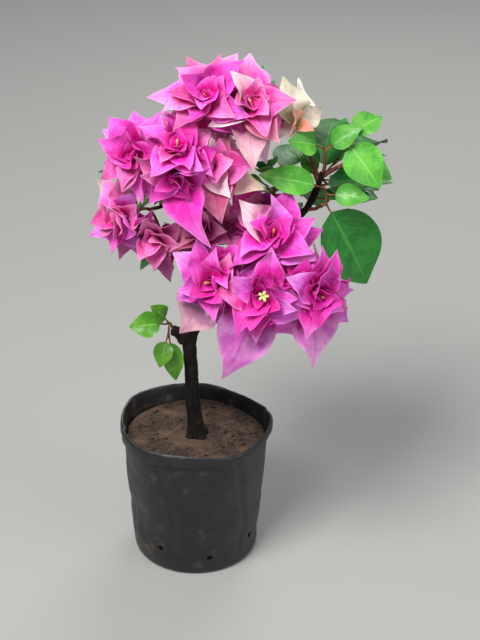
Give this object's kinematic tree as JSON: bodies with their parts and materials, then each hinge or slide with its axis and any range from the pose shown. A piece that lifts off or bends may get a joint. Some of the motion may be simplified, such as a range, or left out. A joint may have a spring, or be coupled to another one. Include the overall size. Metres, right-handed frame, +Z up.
{
  "type": "potted bougainvillea",
  "caption": "Young flowering shrub with a cut-back woody stem, forking boughs, ruffled heads of pink bracts and heart-shaped leaves, standing in a soft black nursery bag.",
  "frame": {"origin": "centre of the nursery bag's flat underside", "axes": "+Z up, -Y the side that the blooms face, +X to the right seen from that side"},
  "size_m": [0.2351, 0.1636, 0.4334],
  "materials": {
    "bag_film": "soft black film, slightly glossy, dusted with soil",
    "potting_mix": "dull, crumbly, moist",
    "bark": "dull dark brown bark with fine cracks",
    "young_stem": "smooth reddish brown skin",
    "bract": "papery pink, veined, paler at the tips",
    "young_bract": "papery cream and pale green, flushed pink",
    "leaf": "glossy mid green with pale veins",
    "young_leaf": "glossy yellow green"
  },
  "bodies": {
    "root": {"nursery_bag": "bag_film", "soil": "potting_mix", "trunk": "bark", "leader": "bark", "bough_left": "bark", "bough_low_left": "bark", "bough_top": "bark", "bough_middle": "bark", "bough_right": "bark", "bough_front": "bark", "bough_centre": "bark", "bough_back": "bark", "bough_back_right": "bark", "stalk_upper_right": "young_stem", "shoot_right": "young_stem", "shoot_low_right": "young_stem", "shoot_left": "young_stem", "bloom_front": "bract", "bloom_centre": "bract", "bloom_left": "bract", "bloom_low_left": "bract", "bloom_middle": "bract", "bloom_top": "bract", "bloom_back": "bract", "bloom_back_right": "bract", "young_bracts": "young_bract", "leaves_right": "leaf", "leaves_top_right": "leaf", "leaves_low_right": "leaf", "leaves_back_left": "leaf", "leaves_back_low": "leaf", "leaves_back_top": "leaf", "leaves_back_far_right": "leaf", "leaves_back_right": "leaf", "leaves_left_shoot": "young_leaf"}
  },
  "joints": []
}
